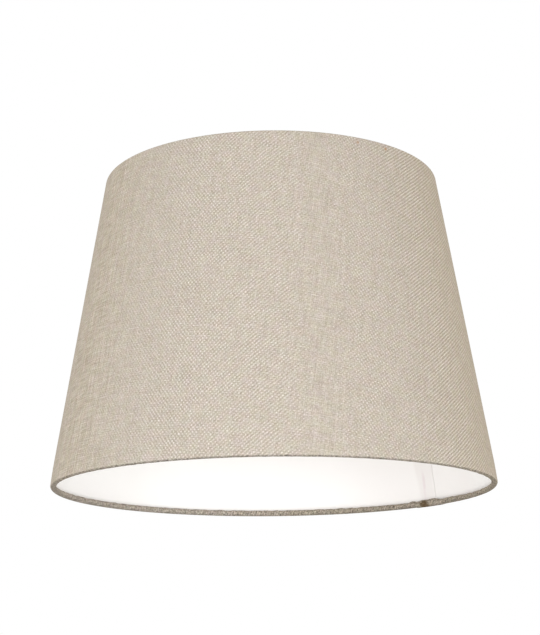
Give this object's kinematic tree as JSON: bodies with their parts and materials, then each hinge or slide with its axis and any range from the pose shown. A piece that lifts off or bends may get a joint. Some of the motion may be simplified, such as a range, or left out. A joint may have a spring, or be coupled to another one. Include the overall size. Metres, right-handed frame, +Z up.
{
  "type": "lamp shade",
  "caption": "Tapered drum lamp shade of laminated linen on two wire rings, with rolled hems, a lapped seam, a swivelling lampholder bracket and a lift-out reducer ring.",
  "frame": {"origin": "centre of the lower rim, in the plane that the shade stands on", "axes": "+Z up along the shade's axis; the spokes and the gimbal's pivot lie along X; the seam is at the back right, about 38 degrees from +X towards +Y"},
  "size_m": [0.3496, 0.3496, 0.2536],
  "materials": {
    "linen": "natural oatmeal linen hopsack, matt",
    "pvc_panel": "white translucent PVC, satin",
    "tape": "clear acrylic adhesive film",
    "white_wire": "white powder coat on 3 mm steel wire",
    "white_pressing": "white powder coat on 1.5 mm sheet steel",
    "white_plastic": "moulded white polypropylene, satin"
  },
  "bodies": {
    "shade": {"cover_fabric": "linen", "liner_panel": "pvc_panel", "seam_tape": "tape", "top_ring": "white_wire", "bottom_ring": "white_wire", "top_ring_tape": "tape", "bottom_ring_tape": "tape", "spoke_left": "white_wire", "spoke_right": "white_wire"},
    "gimbal": {"gimbal_bracket": "white_pressing"},
    "reducer": {"reducer_ring": "white_plastic"}
  },
  "joints": [
    {"name": "gimbal_swing", "type": "hinge", "parent": "shade", "child": "gimbal", "pos_m": [0, 0, 0.2481], "axis": [1, 0, 0], "continuous": true},
    {"name": "reducer_lift", "type": "slide", "parent": "gimbal", "child": "reducer", "axis": [0, 0, 1], "range_m": [0, 0.01]}
  ]
}
